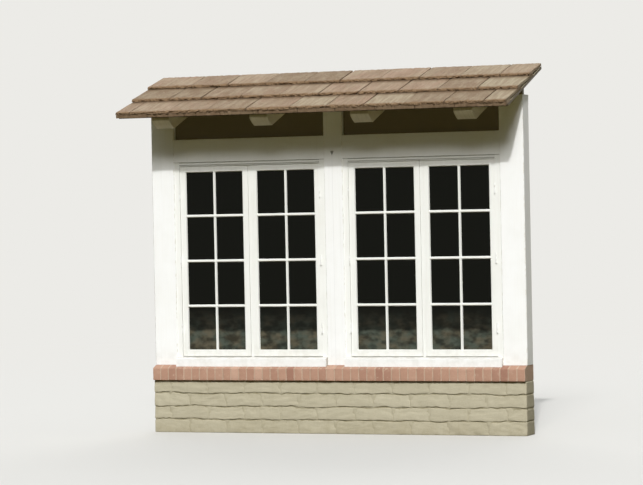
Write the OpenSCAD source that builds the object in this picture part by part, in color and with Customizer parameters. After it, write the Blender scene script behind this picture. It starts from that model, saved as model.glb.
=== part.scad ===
// Timber-framed window bay of a block-walled house: two pairs of divided-light
// casements between three posts, on a brick sill over a low block wall, with
// the strip of eaves that shelters it. Millimetres, +Z up, front towards -Y.
// The origin is the middle of the block wall's underside.

/* [Bay] */
// Width of the whole bay over its two end posts
bay_w = 3048; // [2800:1:3500]

/* [Block wall] */
// Height of one course of block with its joint
block_course_h = 101.6; // [92:0.1:112]
// Number of courses below the brick sill
block_courses = 4; // [3:1:6]
// Thickness of the block wall
wall_t = 190; // [180:1:220]

/* [Brick sill] */
// Height of the bricks on edge where the posts stand on them
brick_sill_h = 117; // [105:1:135]
// Fall of the weathered top to its front edge
brick_sill_fall = 25; // [12:1:34]
// How far the bricks stand out past the face of the wall
brick_sill_nose = 22; // [12:1:32]

/* [Posts] */
// Width of each end post
end_post_w = 190; // [150:1:230]
// Width of the middle post
centre_post_w = 152; // [120:1:200]
// Depth of the posts, front to back
post_d = 140; // [132:1:150]
// How far the posts stand back from the face of the wall
post_setback = 40; // [30:1:50]
// Chamfer on the corners of the posts
post_chamfer = 5; // [2:0.5:10]

/* [Header and frieze] */
// Height from the foot of the posts to the underside of the headers
head_h = 1571; // [1400:1:1750]
// Height of the headers
header_h = 180; // [140:1:240]
// How far the headers stand back from the face of the posts
header_setback = 4; // [2:0.5:8]
// Height of the frieze panels above the headers
frieze_h = 190; // [150:1:260]
// How far the frieze panels stand back from the face of the posts
frieze_setback = 40; // [25:1:50]
// Thickness of the frieze panels
frieze_t = 20; // [12:1:25]
// Thickness of the boards that line the frieze inside
lining_t = 12; // [9:1:18]
// Height of the top plate over the posts
plate_h = 72; // [64:1:110]

/* [Rafters] */
// Slope of the roof in degrees
roof_pitch = 20; // [17:0.5:23]
// How far the rafter tails reach in front of the posts
eave_overhang = 475; // [400:1:600]
// Number of rafters
rafter_count = 4; // [3:1:5]
// Distance from each end of the bay to the middle of its outer rafter
rafter_inset = 305; // [200:1:400]
// Width of the rafters
rafter_w = 146; // [100:1:160]
// Depth of the rafters, square to the slope
rafter_h = 109; // [95:1:125]
// Length of the slanting cut under the tail
rafter_cut_l = 92; // [50:1:110]
// Height of the slanting cut under the tail
rafter_cut_h = 60; // [30:1:70]
// Depth of the notch that seats each rafter on the plate
rafter_notch = 43; // [20:1:48]
// Thickness of the blocks that close the eaves between the rafters
eave_block_t = 38; // [30:1:45]

/* [Roof covering] */
// Thickness of the roof boards
deck_t = 19; // [16:1:25]
// Width of one roof board
deck_board_w = 140; // [100:1:180]
// Size of the V joint under the boards
deck_v = 4; // [2:0.5:6]
// How far the roof runs past each end of the bay
roof_side = 43.5; // [20:0.5:80]
// Thickness of the roof tiles
tile_t = 22; // [18:1:28]
// Length of one tile along the slope
tile_l = 400; // [370:1:430]
// Length of each course that shows
tile_gauge = 310; // [290:1:330]
// Number of courses
tile_courses = 3; // [2:1:4]
// How far the lowest tiles reach past the rafter tails
tile_reach = 60; // [40:1:80]
// Length of the starter tiles that lie on the boards under the lowest course
starter_l = 60; // [40:1:90]
// How far the lowest course reaches past the starter tiles
starter_setback = 8; // [4:1:15]

/* [Window frames] */
// Height of the timber sills above the foot of the posts
sill_h = 61; // [50:1:80]
// How far the sills stand out past the face of the posts
sill_nose = 33; // [24:1:36]
// Fall of the top of the sills to their front edge
sill_fall = 10; // [4:1:16]
// How far the frames stand back from the face of the posts
frame_setback = 10; // [5:1:14]
// Depth of the frames, front to back
frame_d = 110; // [95:1:120]
// Face width of the jambs
jamb_w = 41; // [30:1:55]
// Face height of the frame heads
head_w = 28; // [20:1:40]
// Face width of the mullion between a pair of casements
mullion_w = 21; // [15:1:30]
// How far the mullions stand back from the face of the casements
mullion_setback = 4; // [2:1:8]
// How far the stops lap over the casements behind
stop_lap = 12; // [8:1:15]
// Gap round each casement
sash_gap = 2; // [1.5:0.5:3]
// Thickness of the inside sill boards
stool_t = 22; // [18:1:28]
// How far the inside sill boards reach into the room past the posts
stool_nose = 35; // [20:1:50]

/* [Casements] */
// Thickness of the casements
sash_t = 40; // [36:1:46]
// How far the casements stand back from the face of the posts
sash_setback = 18; // [15:1:24]
// Width of the stiles
stile_w = 50; // [40:1:60]
// Height of the bottom rails
bottom_rail_h = 54; // [45:1:80]
// Height of the top rails
top_rail_h = 47; // [40:1:60]
// Number of lights across one casement
lights_across = 2; // [2:1:3]
// Number of lights up one casement
lights_up = 4; // [3:1:5]
// Width of the glazing bars
bar_w = 22; // [20:1:28]
// Width of the putty slope beside each pane
putty_w = 6; // [4:0.5:7]
// Depth of the glass behind the outside face
glass_in = 10; // [8:0.5:12]
// Thickness of the glass
glass_t = 4; // [3:0.5:5]
// Depth of the rebate that holds the glass
glass_rebate = 6; // [4:0.5:7]
// Gap round each pane in its rebate
glass_gap = 1; // [0.5:0.5:2]
// Width of the rounded moulding inside
ovolo_w = 6; // [4:0.5:7]
// Depth of the rounded moulding inside
ovolo_d = 14; // [10:1:18]

/* [Hinges and latches] */
// Number of hinges on each casement
hinge_count = 3; // [2:1:4]
// Height of one hinge
hinge_h = 76; // [50:1:100]
// Radius of the hinge knuckle
hinge_r = 5; // [4:0.5:7]
// Depth of the hinge leaf in the gap
hinge_leaf = 30; // [20:1:36]
// Distance from the ends of a casement to its outer hinges
hinge_inset = 180; // [120:1:250]
// Width of a latch plate
latch_w = 20; // [14:1:24]
// Height of a latch plate
latch_h = 64; // [50:1:90]
// Thickness of a latch plate
latch_t = 3; // [2:0.5:4]
// Radius of the latch boss
latch_boss_r = 7; // [5:0.5:9]
// Height of the latch boss above its plate
latch_boss_h = 12; // [8:1:18]
// Length of the latch lever
latch_lever_l = 84; // [60:1:110]
// Width of the latch lever
latch_lever_w = 10; // [8:0.5:12]
// Thickness of the latch lever
latch_lever_t = 5; // [4:0.5:6]

/* [Hidden] */
$fn = 32;
arc_steps = 5;
cut_steps = 6;
cut_round = 0.35;

// Heights
wall_h = block_course_h * block_courses;
foot_z = wall_h + brick_sill_h;
header_z = foot_z + head_h;
frieze_z = header_z + header_h;
plate_z = frieze_z + frieze_h;
plate_top = plate_z + plate_h;
sill_z = foot_z + sill_h;
stop_z = sill_z + sash_gap + stop_lap;

// Depths, from the middle of the wall
wall_front = -wall_t / 2;
post_front = wall_front + post_setback;
post_back = post_front + post_d;
post_margin = 5;
wash_y = post_front - post_margin;
brick_nose_y = wall_front - brick_sill_nose;
wash_slope = brick_sill_fall / (wash_y - brick_nose_y);
sill_nose_y = post_front - sill_nose;
frame_front = post_front + frame_setback;
frame_back = frame_front + frame_d;
sash_front = post_front + sash_setback;
sash_back = sash_front + sash_t;

// Widths
opening_w = (bay_w - 2 * end_post_w - centre_post_w) / 2;
left_x = -bay_w / 2 + end_post_w;
right_x = centre_post_w / 2;
sash_w = (opening_w - 2 * jamb_w - mullion_w - 4 * sash_gap) / 2;
sash_z = sill_z + sash_gap;
sash_h = header_z - head_w - sash_gap - sash_z;
outer_sash = jamb_w + sash_gap;
inner_sash = outer_sash + sash_w + 2 * sash_gap + mullion_w;
light_w = (sash_w - 2 * stile_w - (lights_across - 1) * bar_w) / lights_across;
light_h = (sash_h - bottom_rail_h - top_rail_h - (lights_up - 1) * bar_w) / lights_up;

// Roof lines, square to the slope or plumb
rise = tan(roof_pitch);
plumb = 1 / cos(roof_pitch);
tail_y = post_front - eave_overhang;
roof_run = (tile_courses * tile_gauge - tile_reach) * cos(roof_pitch);
roof_back_y = tail_y + roof_run;
roof_w = bay_w + 2 * roof_side;
tile_lift = tile_t * tile_l / tile_gauge;
deck_l = roof_run * plumb;
rafter_step = (bay_w - 2 * rafter_inset) / (rafter_count - 1);

function rafter_under(y) = plate_top - rafter_notch + (y - post_front) * rise;
function rafter_over(y) = rafter_under(y) + rafter_h * plumb;
function rafter_x(i) = -bay_w / 2 + rafter_inset + i * rafter_step;
function swapped(points) = [for (p = points) [p[1], p[0]]];
function mirrored(points) = [for (i = [len(points) - 1:-1:0]) [-points[i][0], points[i][1]]];

// Moulded inner edge of a casement member, s across it and depth from its
// outside face: putty slope, rebate for the pane, then a quarter-round.
function moulded_edge(s) = concat(
    [[s - putty_w, 0], [s, glass_in], [s - glass_rebate, glass_in],
     [s - glass_rebate, glass_in + glass_t], [s, glass_in + glass_t]],
    [for (k = [0:arc_steps])
        [s - ovolo_w + ovolo_w * cos(k * 90 / arc_steps),
         sash_t - ovolo_d + ovolo_d * sin(k * 90 / arc_steps)]]);

// Extrudes a profile drawn as [y, z] along X, from x over a length.
module along_x(x, length) {
    translate([x, 0, 0]) rotate([90, 0, 90]) linear_extrude(length) children();
}

// A block with all four upright corners chamfered.
module chamfered_post(x, w, y, d, z, h, c) {
    translate([x, y, z]) linear_extrude(h)
        polygon([[c, 0], [w - c, 0], [w, c], [w, d - c],
                 [w - c, d], [c, d], [0, d - c], [0, c]]);
}

// Places a profile drawn along and square to the roof boards' top face.
module on_slope() {
    translate([tail_y, rafter_over(tail_y) + deck_t * plumb])
        rotate(roof_pitch) children();
}

module apron_wall() {
    color("tan") translate([-bay_w / 2, wall_front, 0]) cube([bay_w, wall_t, wall_h]);
}

module brick_sill() {
    color("indianred") along_x(-bay_w / 2, bay_w)
        polygon([[-wall_front, wall_h], [-wall_front, foot_z], [wash_y, foot_z],
                 [brick_nose_y, foot_z - brick_sill_fall], [brick_nose_y, wall_h]]);
}

module post(x, w) {
    color("white") chamfered_post(x, w, post_front, post_d, foot_z,
                                  plate_z - foot_z, post_chamfer);
}

module header(x) {
    y = post_front + header_setback;
    color("white") along_x(x, opening_w)
        polygon([[y, header_z + header_setback], [y + header_setback, header_z],
                 [post_back, header_z], [post_back, frieze_z],
                 [y + header_setback, frieze_z], [y, frieze_z - header_setback]]);
}

module frieze_panel(x) {
    color("darkkhaki") translate([x, post_front + frieze_setback, frieze_z])
        cube([opening_w, frieze_t, frieze_h]);
}

module frieze_lining(x) {
    color("beige") translate([x, post_back - 2 * lining_t, frieze_z])
        cube([opening_w, lining_t, frieze_h]);
}

module top_plate() {
    color("white") translate([-bay_w / 2, post_front, plate_z])
        cube([bay_w, post_d, plate_h]);
}

// One rafter: a short plumb cut at the tail with a slanting cut under it that
// is rounded a little, a plumb cut at the back, and a notch that seats it.
module rafter(x) {
    end_y = tail_y + rafter_cut_l;
    low = rafter_under(end_y);
    high = min(low + rafter_cut_h, rafter_over(tail_y) - 5);
    cut = [for (k = [0:cut_steps]) let (t = k / cut_steps)
        [tail_y + rafter_cut_l * ((1 - cut_round) * t + cut_round * (1 - cos(90 * t))),
         high - (high - low) * ((1 - cut_round) * t + cut_round * sin(90 * t))]];
    color("ivory") difference() {
        along_x(x - rafter_w / 2, rafter_w)
            polygon(concat([[tail_y, rafter_over(tail_y)]], cut,
                [[roof_back_y, rafter_under(roof_back_y)],
                 [roof_back_y, rafter_over(roof_back_y)]]));
        translate([x - rafter_w, post_front, plate_z])
            cube([2 * rafter_w, post_d, plate_h]);
    }
}

module rafters() {
    for (i = [0:rafter_count - 1]) rafter(rafter_x(i));
}

// Blocks on the plate, from each rafter to the next and out to the ends.
module eave_blocks() {
    back = post_front + eave_block_t;
    for (i = [0:rafter_count]) {
        x0 = i == 0 ? -bay_w / 2 : rafter_x(i - 1) + rafter_w / 2;
        x1 = i == rafter_count ? bay_w / 2 : rafter_x(i) - rafter_w / 2;
        color("darkkhaki") along_x(x0, x1 - x0)
            polygon([[post_front, plate_top], [back, plate_top],
                     [back, rafter_over(back)], [post_front, rafter_over(post_front)]]);
    }
}

// Boards along the eaves with a V joint between each and the next.
module roof_deck() {
    joints = floor((deck_l - deck_board_w / 2) / deck_board_w);
    vees = [for (k = [1:joints], p = [[-deck_v, 0], [0, deck_v], [deck_v, 0]])
        [k * deck_board_w + p[0], p[1] - deck_t]];
    end = deck_l - deck_t * rise;
    color("ivory") along_x(-roof_w / 2, roof_w) on_slope()
        polygon(concat([[0, 0], [-deck_t * rise, -deck_t]], vees,
                       [[end, -deck_t], [deck_l, 0]]));
}

// Tiles that lift the lowest course to the angle of the others: a lip as thick
// as a tile past the boards, and a wedge down to them behind it.
module tile_starter() {
    front = starter_setback - tile_reach;
    function lift(s) = tile_lift * (1 - (s + tile_reach) / tile_l);
    color("rosybrown") along_x(-roof_w / 2, roof_w) on_slope()
        polygon([[front, lift(front) - tile_t], [0, 0], [starter_l, 0],
                 [starter_l, lift(starter_l)], [front, lift(front)]]);
}

// One course of tiles: its head lies on the boards and its lower edge on the
// course below. The highest course stops at the end of the boards.
module tile_course(i) {
    s = i * tile_gauge - tile_reach;
    l = min(tile_l, deck_l - s);
    drop = tile_lift * l / tile_l;
    color("rosybrown") along_x(-roof_w / 2, roof_w) on_slope()
        polygon([[s, tile_lift], [s + l, tile_lift - drop],
                 [s + l, tile_lift - drop + tile_t], [s, tile_lift + tile_t]]);
}

// Timber sill between two posts: bedded on the bricks, weathered in front,
// with a step behind the casements and a ledge for the inside board.
module window_sill(x) {
    nose_z = foot_z - (wash_y - sill_nose_y) * wash_slope;
    ledge_z = stop_z - stool_t;
    bevel = 3;
    color("white") along_x(x, opening_w)
        polygon([[post_back, foot_z], [wash_y, foot_z], [sill_nose_y, nose_z],
                 [sill_nose_y, sill_z - sill_fall - bevel],
                 [sill_nose_y + bevel, sill_z - sill_fall],
                 [frame_front, sill_z], [sash_back, sill_z], [sash_back, stop_z],
                 [frame_back, stop_z], [frame_back, ledge_z], [post_back, ledge_z]]);
}

module stool(x) {
    front = post_back + stool_nose;
    round_in = stool_t / 4;
    color("ivory") along_x(x, opening_w)
        polygon([[frame_back, stop_z - stool_t], [front - round_in, stop_z - stool_t],
                 [front, stop_z - stool_t + round_in], [front, stop_z - round_in],
                 [front - round_in, stop_z], [frame_back, stop_z]]);
}

// Plan of one jamb, drawn away from its post: face, rebate, stop.
module jamb_plan() {
    stop = jamb_w + sash_gap + stop_lap;
    polygon([[0, frame_front], [jamb_w, frame_front], [jamb_w, sash_back],
             [stop, sash_back], [stop, frame_back], [0, frame_back]]);
}

module window_jambs(x) {
    color("white") difference() {
        translate([x, 0, foot_z]) {
            linear_extrude(head_h) jamb_plan();
            translate([opening_w, 0, 0]) mirror([1, 0, 0]) linear_extrude(head_h) jamb_plan();
        }
        window_sill(x);
        translate([x, post_front, foot_z - sill_h]) cube([opening_w, post_d, sill_h]);
    }
}

module head_bar(x) {
    stop = header_z - head_w - sash_gap - stop_lap;
    along_x(x, opening_w)
        polygon([[frame_front, header_z], [frame_front, header_z - head_w],
                 [sash_back, header_z - head_w], [sash_back, stop],
                 [frame_back, stop], [frame_back, header_z]]);
}

module window_head(x) {
    color("white") difference() {
        head_bar(x);
        window_jambs(x);
    }
}

module window_mullion(x) {
    front = sash_front + mullion_setback;
    half = mullion_w / 2;
    stop = half + sash_gap + stop_lap;
    color("white") difference() {
        translate([x + opening_w / 2, 0, sill_z - sill_fall])
            linear_extrude(header_z - head_w / 2 - sill_z + sill_fall)
            polygon([[-half, front], [half, front], [half, sash_back],
                     [stop, sash_back], [stop, frame_back], [-stop, frame_back],
                     [-stop, sash_back], [-half, sash_back]]);
        window_sill(x);
        head_bar(x);
    }
}

// A casement member drawn across its width, its outer edge at 0.
function member(w) = concat([[0, 0]], moulded_edge(w), [[0, sash_t]]);

// Stiles and rails of one casement, with its lower outer corner at x.
module sash_frame(x) {
    translate([x, sash_front, sash_z]) {
        linear_extrude(sash_h) polygon(member(stile_w));
        translate([sash_w, 0, 0]) mirror([1, 0, 0])
            linear_extrude(sash_h) polygon(member(stile_w));
        along_x(0, sash_w) polygon(swapped(member(bottom_rail_h)));
        translate([0, 0, sash_h]) mirror([0, 0, 1])
            along_x(0, sash_w) polygon(swapped(member(top_rail_h)));
    }
}

module sash(x) {
    color("white") sash_frame(x);
}

// Lower left corner of a light's sight line.
function light_x(i) = stile_w + i * (light_w + bar_w);
function light_z(j) = bottom_rail_h + j * (light_h + bar_w);

// Crossing bars of one casement, scribed to its stiles and rails.
module glazing_bars(x) {
    half = concat(moulded_edge(bar_w / 2), mirrored(moulded_edge(bar_w / 2)));
    color("white") difference() {
        translate([x, sash_front, sash_z]) {
            for (i = [1:lights_across - 1])
                translate([light_x(i) - bar_w / 2, 0, bottom_rail_h - glass_rebate])
                    linear_extrude(sash_h - bottom_rail_h - top_rail_h + 2 * glass_rebate)
                    polygon(half);
            for (j = [1:lights_up - 1])
                translate([0, 0, light_z(j) - bar_w / 2])
                    along_x(stile_w - glass_rebate, sash_w - 2 * stile_w + 2 * glass_rebate)
                    polygon(swapped(half));
        }
        sash_frame(x);
    }
}

// The panes of one casement, each in its own rebates.
module glass(x) {
    grow = glass_rebate - glass_gap;
    color("slategray") translate([x, sash_front + glass_in, sash_z])
        for (i = [0:lights_across - 1], j = [0:lights_up - 1])
            translate([light_x(i) - grow, 0, light_z(j) - grow])
                cube([light_w + 2 * grow, glass_t, light_h + 2 * grow]);
}

// A knuckle in front of the frame and a leaf in the gap, at a height.
module hinge(x, z) {
    y = frame_front - hinge_r;
    color("white") translate([x, y, z]) {
        cylinder(h = hinge_h, r = hinge_r);
        translate([-sash_gap / 2, 0, 0])
            cube([sash_gap, sash_front - y + hinge_leaf, hinge_h]);
    }
}

function hinge_z(k) = sash_z + hinge_inset
    + k * (sash_h - 2 * hinge_inset - hinge_h) / (hinge_count - 1);

module sash_hinges() {
    for (x = [left_x, right_x], k = [0:hinge_count - 1]) {
        hinge(x + jamb_w + sash_gap / 2, hinge_z(k));
        hinge(x + opening_w - jamb_w - sash_gap / 2, hinge_z(k));
    }
}

// A plate on the inside of a meeting stile, with a boss and a hanging lever.
module latch(x) {
    z = sash_z + sash_h / 2;
    color("goldenrod") translate([x, sash_back, z]) {
        translate([-latch_w / 2, 0, -latch_h / 2]) cube([latch_w, latch_t, latch_h]);
        rotate([-90, 0, 0]) cylinder(h = latch_boss_h, r = latch_boss_r);
        translate([-latch_lever_w / 2, latch_boss_h - latch_lever_t, -latch_lever_l])
            cube([latch_lever_w, latch_lever_t, latch_lever_l]);
    }
}

module sash_latches() {
    in = (stile_w + stop_lap - ovolo_w) / 2;
    for (x = [left_x, right_x]) {
        latch(x + outer_sash + sash_w - in);
        latch(x + inner_sash + in);
    }
}

apron_wall();
brick_sill();
post(-bay_w / 2, end_post_w);  // left_post
post(-centre_post_w / 2, centre_post_w);  // centre_post
post(bay_w / 2 - end_post_w, end_post_w);  // right_post
header(left_x);  // left_header
header(right_x);  // right_header
frieze_panel(left_x);  // left_frieze_panel
frieze_panel(right_x);  // right_frieze_panel
frieze_lining(left_x);  // left_frieze_lining
frieze_lining(right_x);  // right_frieze_lining
top_plate();
rafters();
eave_blocks();
roof_deck();
tile_starter();
tile_course(0);  // tile_course_1
tile_course(1);  // tile_course_2
tile_course(2);  // tile_course_3
window_sill(left_x);  // left_window_sill
window_sill(right_x);  // right_window_sill
stool(left_x);  // left_stool
stool(right_x);  // right_stool
window_jambs(left_x);  // left_window_jambs
window_jambs(right_x);  // right_window_jambs
window_head(left_x);  // left_window_head
window_head(right_x);  // right_window_head
window_mullion(left_x);  // left_window_mullion
window_mullion(right_x);  // right_window_mullion
sash(left_x + outer_sash);  // left_outer_sash
sash(left_x + inner_sash);  // left_inner_sash
sash(right_x + outer_sash);  // right_inner_sash
sash(right_x + inner_sash);  // right_outer_sash
glazing_bars(left_x + outer_sash);  // left_outer_bars
glazing_bars(left_x + inner_sash);  // left_inner_bars
glazing_bars(right_x + outer_sash);  // right_inner_bars
glazing_bars(right_x + inner_sash);  // right_outer_bars
glass(left_x + outer_sash);  // left_outer_glass
glass(left_x + inner_sash);  // left_inner_glass
glass(right_x + outer_sash);  // right_inner_glass
glass(right_x + inner_sash);  // right_outer_glass
sash_hinges();
sash_latches();
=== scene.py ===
"""Window bay with divided casements: masonry, roof tiles, painted timber, glass
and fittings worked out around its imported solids."""

import math

import bpy
import numpy as np
from bpy.props import FloatProperty, FloatVectorProperty, IntProperty, PointerProperty
from bpy.types import Operator, Panel, PropertyGroup
from mathutils import Matrix, Vector


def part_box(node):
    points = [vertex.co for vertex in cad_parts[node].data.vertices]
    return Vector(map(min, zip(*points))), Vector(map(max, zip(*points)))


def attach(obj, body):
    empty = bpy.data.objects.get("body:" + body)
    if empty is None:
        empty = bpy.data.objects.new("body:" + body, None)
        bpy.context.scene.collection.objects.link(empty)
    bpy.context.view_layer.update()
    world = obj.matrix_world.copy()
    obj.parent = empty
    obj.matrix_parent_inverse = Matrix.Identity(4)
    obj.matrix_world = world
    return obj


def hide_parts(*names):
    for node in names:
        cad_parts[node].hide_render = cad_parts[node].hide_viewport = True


bl_info = {
    "name": "Window bay",
    "version": (1, 0, 0),
    "blender": (4, 5, 0),
    "location": "3D View > Sidebar > Bay",
    "description": "Masonry, roof tiles, timber, glass and fittings of a window bay",
    "category": "Object",
}

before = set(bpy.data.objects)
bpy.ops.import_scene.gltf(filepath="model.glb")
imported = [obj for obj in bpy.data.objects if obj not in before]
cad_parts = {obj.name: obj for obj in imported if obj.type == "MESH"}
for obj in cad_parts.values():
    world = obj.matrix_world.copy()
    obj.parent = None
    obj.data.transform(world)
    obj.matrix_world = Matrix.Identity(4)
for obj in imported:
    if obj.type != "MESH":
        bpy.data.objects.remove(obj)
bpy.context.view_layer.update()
WALL_LOW, WALL_HIGH = np.array(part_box("apron_wall"))
BRICK_LOW, BRICK_HIGH = np.array(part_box("brick_sill"))
DECK_LOW, DECK_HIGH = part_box("roof_deck")
POST_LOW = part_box("left_post")[0]


# Sizes and colours

def srgb(red, green, blue):
    """Colour values from 0 to 255 as the linear values that a shader takes."""
    c = np.array((red, green, blue)) / 255
    return tuple(float(v) for v in np.where(c <= 0.04045, c / 12.92, ((c + 0.055) / 1.055) ** 2.4))


def length(name, text, value, low, high):
    """A length that a user can change."""
    return FloatProperty(name=name, description=text, default=value, min=low, max=high,
                         unit="LENGTH", subtype="DISTANCE", precision=4)


def angle(name, text, value, low, high):
    """An angle that a user can change, given here in degrees."""
    return FloatProperty(name=name, description=text, default=math.radians(value),
                         min=math.radians(low), max=math.radians(high),
                         unit="ROTATION", subtype="ANGLE")


def strength(name, text, value):
    """The strength of a lamp, which a user can change."""
    return FloatProperty(name=name, description=text, default=value, min=0.0, max=20.0)


def colour(name, text, *value):
    """A colour that a user can change, given here from 0 to 255."""
    return FloatVectorProperty(name=name, description=text, default=srgb(*value),
                               min=0.0, max=1.0, size=3, subtype="COLOR")


class BayStage(PropertyGroup):
    sun: strength("Sun", "Strength of the main lamp", 1.79)
    glow: strength("Glow", "Strength of the wide lamp round the main one", 1.62)
    fill: strength("Fill", "Strength of the soft lamp behind the object", 1.0)
    sun_side: angle("Sun side", "How far to the right of the front the lamp stands", 17, -90, 90)
    sun_height: angle("Sun height", "Height of the lamp above level", 36.4, 5, 85)
    sun_spread: angle("Sun spread", "Angle that the lamp covers, which softens shadows", 1.6, 0, 20)
    glow_spread: angle("Glow spread", "Angle that the wide lamp covers", 17, 0, 60)
    glow_drop: angle("Glow drop", "How much lower the wide lamp stands than the main one", 4, 0, 20)
    sky: colour("Sky light", "Light from above on the object", 197, 199, 201)
    low_sky: colour("Low light", "Light from all round, near level", 50, 47, 30)
    paper: colour("Background", "Colour behind the object and of the floor", 236, 235, 231)
    ground: colour("Ground bounce", "Colour that the floor throws back on the object", 86, 80, 47)


class BayMasonry(PropertyGroup):
    block: length("Block length", "Length of a block with its joint", 0.3048, 0.2, 0.5)
    joint: length("Joint", "Width of the joints between blocks", 0.009, 0.004, 0.02)
    slump: length("Slump", "How far the faces of the blocks sag and bulge", 0.006, 0.0, 0.012)
    wander: length("Wander", "How far the joints stray from level", 0.0032, 0.0, 0.008)
    paint: colour("Block paint", "Paint on the blocks and joints", 189, 182, 159)
    # colour that the painted shade and dirt in recesses and joints go towards
    shade_paint: colour("Paint in joints", "Paint where dirt gathers in it", 150, 142, 116)
    bricks: IntProperty(name="Bricks", description="Number of bricks along the sill",
                        default=46, min=20, max=80)
    brick_joint: length("Brick joint", "Width of the joints between bricks", 0.009, 0.004, 0.02)
    brick_light: colour("Light brick", "Colour of the lightest bricks", 198, 163, 142)
    brick_middle: colour("Middle brick", "Colour of most bricks", 181, 143, 122)
    brick_dark: colour("Dark brick", "Colour of the darkest bricks", 161, 121, 103)
    mortar: colour("Mortar", "Colour of the joints between bricks", 196, 168, 147)


class BayRoof(PropertyGroup):
    joint: length("Tile joint", "Width of the widest joints between tiles", 0.013, 0.002, 0.02)
    ridges: length("Ridges", "Depth of the split grain in the tiles", 0.0036, 0.0, 0.006)
    ragged: length("Ragged edge", "How far the lower edges are broken back", 0.012, 0.0, 0.02)
    light: colour("Grey tile", "Colour of the greyest tiles", 172, 160, 136)
    middle: colour("Warm tile", "Colour of most tiles", 163, 137, 117)
    dark: colour("Dark tile", "Colour of the darkest tiles", 127, 107, 86)
    edge: colour("Tile edge", "Colour of the broken lower edges", 134, 110, 84)
    # also the colour of the painted shade under the laps and lower edges of the tiles
    deep: colour("Tile cracks", "Colour of the joints and the hollows under the edges", 74, 57, 41)
    lichen: colour("Lichen", "Colour of the spots on the tiles", 184, 174, 148)


class BayTimber(PropertyGroup):
    wear: length("Worn edge", "How far from an edge the paint is rubbed thin", 0.0035, 0.0, 0.02)
    white: colour("White paint", "Paint on posts, headers and sills", 250, 251, 250)
    sash: colour("Window paint", "Paint on window frames and casements", 243, 244, 240)
    under: colour("Worn paint", "Colour where the paint is thin along edges", 214, 208, 190)
    grime: colour("Grime", "Rain marks and splashes on the paint", 150, 140, 112)
    # darker than the wall's tan that these boards carry: painted shade under the eaves
    tan: colour("Tan paint", "Paint on the frieze boards and eave blocks", 126, 116, 94)
    cream: colour("Eaves paint", "Old paint on rafters and roof boards", 216, 206, 174)
    indoor: colour("Indoor paint", "Paint on the inside boards", 226, 221, 206)
    edge: colour("Rubbed paint", "Colour where the paint is worn along edges", 204, 196, 176)
    # also the colour of the painted shadow lines at thin joints
    seam: colour("Dirt in joints", "Dirt in thin joints and in a run on a post", 70, 62, 44)
    # also painted shade along the front edge of the roof boards, under the tiles
    raw: colour("Weathered timber", "Front and end edges of the roof boards", 92, 80, 60)


class BayGlazing(PropertyGroup):
    glass: colour("Glass", "Tint of the panes, dark as an unlit room behind them", 17, 18, 14)
    # painted reflection: lighter mottled tone low on the panes
    painted_reflection: colour("Haze", "Dust low on the panes", 92, 87, 72)
    # cooler tone of the same painted reflection
    bloom: colour("Bloom", "Cooler bloom low on the panes", 76, 83, 74)
    brass: colour("Brass", "Colour of the latches", 176, 142, 74)
    tarnish: colour("Tarnish", "Dull colour of handled brass", 96, 74, 40)


# Surfaces worked out with numpy

WAVES = 7           # sine waves in a relief
HALF_ARC = 0.414    # tangent of 22.5 degrees


def quads(ids):
    """Quads of a grid of point numbers, whose normals follow first index x second index."""
    ring = (ids[:-1, :-1], ids[1:, :-1], ids[1:, 1:], ids[:-1, 1:])
    return np.stack(ring, -1).reshape(-1, 4)


def box_grid(xs, ys, zs):
    """Closed box cut by the positions xs, ys, zs: each lattice point that has a first
    or last index is kept once, and the six sides are grids of those points."""
    shape = (len(xs), len(ys), len(zs))
    skin = np.zeros(shape, bool)
    skin[[0, -1]] = True
    skin[:, [0, -1]] = True
    skin[:, :, [0, -1]] = True
    ids = np.full(shape, -1)
    ids[skin] = np.arange(skin.sum())
    points = np.stack(np.meshgrid(xs, ys, zs, indexing="ij"), -1)[skin]
    sides = (ids[-1], ids[0].T, ids[:, -1].T, ids[:, 0], ids[:, :, -1], ids[:, :, 0].T)
    return points, np.concatenate([quads(side) for side in sides])


def even_box(half, counts):
    """Closed box of half sizes, cut evenly into one less than each count."""
    return box_grid(*(np.linspace(-size, size, count) for size, count in zip(half, counts)))


def rounded_box(half, radius, counts):
    """Closed box with rounded edges. Its cuts are even between the edges, with two more
    on each edge at 22.5 and 45 degrees of its arc. The second result is the lattice p,
    and the first is p = q + r * (p - q) / |p - q|, where q is p held inside the box
    that is smaller by the radius r."""
    cuts = []
    for size, count in zip(half, counts):
        flat = size - radius
        arc = np.array((flat + HALF_ARC * radius, size))
        cuts.append(np.concatenate((-arc[::-1], np.linspace(-flat, flat, count + 1), arc)))
    grid, faces = box_grid(*cuts)
    inner = np.clip(grid, -(half - radius), half - radius)
    away = grid - inner
    far = np.linalg.norm(away, axis=-1, keepdims=True)
    return inner + away * radius / np.maximum(far, 1e-9), grid, faces


def relief(points, rng, size):
    """Soft random relief of about one unit: a sum of sine waves in random directions,
    each with a wave length of 0.6 to 1.6 times size."""
    way = rng.normal(size=(points.shape[-1], WAVES))
    way *= 2 * np.pi / size / np.linalg.norm(way, axis=0) / rng.uniform(0.6, 1.6, WAVES)
    return np.sin(points @ way + rng.uniform(0, 2 * np.pi, WAVES)).sum(-1) * (2 / WAVES) ** 0.5


def smooth(value, low, high):
    """0 below low, 1 above high and 3t^2 - 2t^3 between them."""
    t = np.clip((value - low) / (high - low), 0, 1)
    return t * t * (3 - 2 * t)


def joined(parts):
    """Joins (points, faces, {mark: a value for all points or one for each}) parts."""
    start = np.cumsum([0] + [len(part[0]) for part in parts[:-1]])
    points = np.concatenate([part[0] for part in parts])
    faces = np.concatenate([part[1] + first for part, first in zip(parts, start)])
    marks = {name: np.concatenate([np.broadcast_to(part[2][name], len(part[0])) for part in parts])
             for name in parts[0][2]}
    return points, faces, marks


def linked(name, data):
    """A new object in the scene, made of the data."""
    made = bpy.data.objects.new(name, data)
    bpy.context.scene.collection.objects.link(made)
    return made


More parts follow.
